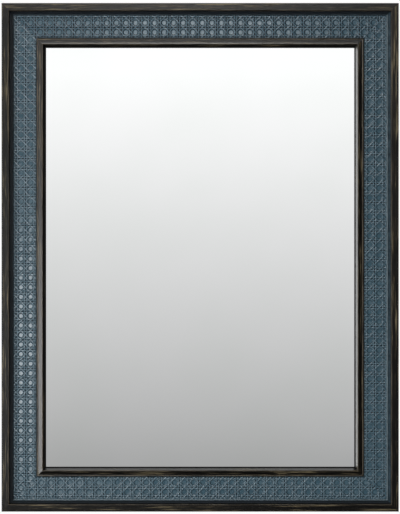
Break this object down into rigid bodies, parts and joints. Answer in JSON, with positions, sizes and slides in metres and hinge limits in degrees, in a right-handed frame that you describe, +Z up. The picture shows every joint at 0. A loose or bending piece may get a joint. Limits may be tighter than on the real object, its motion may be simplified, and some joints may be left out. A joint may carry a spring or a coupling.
{
  "type": "wall mirror",
  "caption": "Rectangular wall mirror in a dark mitred wooden frame with a raised lip, a blue-grey cane-pattern strip and a narrow inner slip round flat glass.",
  "frame": {"origin": "centre of the mirror on the wall plane, which is the rear faces of the wall bumpers", "axes": "+X to the right seen from the front, +Y into the wall, +Z up"},
  "size_m": [0.635, 0.035, 0.813],
  "materials": {
    "dark_wood": "dark stained, open grain, satin",
    "slip_wood": "dark stained, satin",
    "painted_strip": "moulded cane pattern, painted slate blue-grey, satin",
    "mirror_glass": "flat clear glass, silvered at the back",
    "card": "corrugated, brown",
    "board": "pressed fibre board, brown",
    "steel": "bright steel",
    "zinc_steel": "zinc-plated pressed steel and wire",
    "bumper_rubber": "moulded, matt"
  },
  "bodies": {
    "frame": {"rail_top": "dark_wood", "rail_bottom": "dark_wood", "rail_left": "dark_wood", "rail_right": "dark_wood", "cane_strip_top": "painted_strip", "cane_strip_bottom": "painted_strip", "cane_strip_left": "painted_strip", "cane_strip_right": "painted_strip", "sight_slip_top": "slip_wood", "sight_slip_bottom": "slip_wood", "sight_slip_left": "slip_wood", "sight_slip_right": "slip_wood", "corner_v_nails": "steel", "mirror_glass": "mirror_glass", "packing_card": "card", "backing_board": "board", "turn_button_screws": "steel", "hanger_strap_left": "zinc_steel", "hanger_strap_right": "zinc_steel", "hanger_screws": "steel", "bumper_top_left": "bumper_rubber", "bumper_top_right": "bumper_rubber", "bumper_bottom_left": "bumper_rubber", "bumper_bottom_right": "bumper_rubber"},
    "turn_button_top_left": {"turn_button_top_left": "zinc_steel"},
    "turn_button_top_right": {"turn_button_top_right": "zinc_steel"},
    "turn_button_bottom_left": {"turn_button_bottom_left": "zinc_steel"},
    "turn_button_bottom_right": {"turn_button_bottom_right": "zinc_steel"},
    "turn_button_left_upper": {"turn_button_left_upper": "zinc_steel"},
    "turn_button_left_lower": {"turn_button_left_lower": "zinc_steel"},
    "turn_button_right_upper": {"turn_button_right_upper": "zinc_steel"},
    "turn_button_right_lower": {"turn_button_right_lower": "zinc_steel"},
    "hanger_ring_left": {"hanger_ring_left": "zinc_steel"},
    "hanger_ring_right": {"hanger_ring_right": "zinc_steel"}
  },
  "joints": [
    {"name": "button_top_left_turn", "type": "hinge", "parent": "frame", "child": "turn_button_top_left", "pos_m": [-0.12, -0.0041, 0.3525], "axis": [0, 1, 0], "continuous": true},
    {"name": "button_top_right_turn", "type": "hinge", "parent": "frame", "child": "turn_button_top_right", "pos_m": [0.12, -0.0041, 0.3525], "axis": [0, 1, 0], "continuous": true},
    {"name": "button_bottom_left_turn", "type": "hinge", "parent": "frame", "child": "turn_button_bottom_left", "pos_m": [-0.12, -0.0041, -0.3525], "axis": [0, 1, 0], "continuous": true},
    {"name": "button_bottom_right_turn", "type": "hinge", "parent": "frame", "child": "turn_button_bottom_right", "pos_m": [0.12, -0.0041, -0.3525], "axis": [0, 1, 0], "continuous": true},
    {"name": "button_left_upper_turn", "type": "hinge", "parent": "frame", "child": "turn_button_left_upper", "pos_m": [-0.2635, -0.0041, 0.11], "axis": [0, 1, 0], "continuous": true},
    {"name": "button_left_lower_turn", "type": "hinge", "parent": "frame", "child": "turn_button_left_lower", "pos_m": [-0.2635, -0.0041, -0.11], "axis": [0, 1, 0], "continuous": true},
    {"name": "button_right_upper_turn", "type": "hinge", "parent": "frame", "child": "turn_button_right_upper", "pos_m": [0.2635, -0.0041, 0.11], "axis": [0, 1, 0], "continuous": true},
    {"name": "button_right_lower_turn", "type": "hinge", "parent": "frame", "child": "turn_button_right_lower", "pos_m": [0.2635, -0.0041, -0.11], "axis": [0, 1, 0], "continuous": true},
    {"name": "ring_left_swing", "type": "hinge", "parent": "frame", "child": "hanger_ring_left", "pos_m": [-0.2835, -0.0024, 0.19], "axis": [1, 0, 0], "range_deg": [0, 180]},
    {"name": "ring_right_swing", "type": "hinge", "parent": "frame", "child": "hanger_ring_right", "pos_m": [0.2835, -0.0024, 0.19], "axis": [1, 0, 0], "range_deg": [0, 180]}
  ]
}
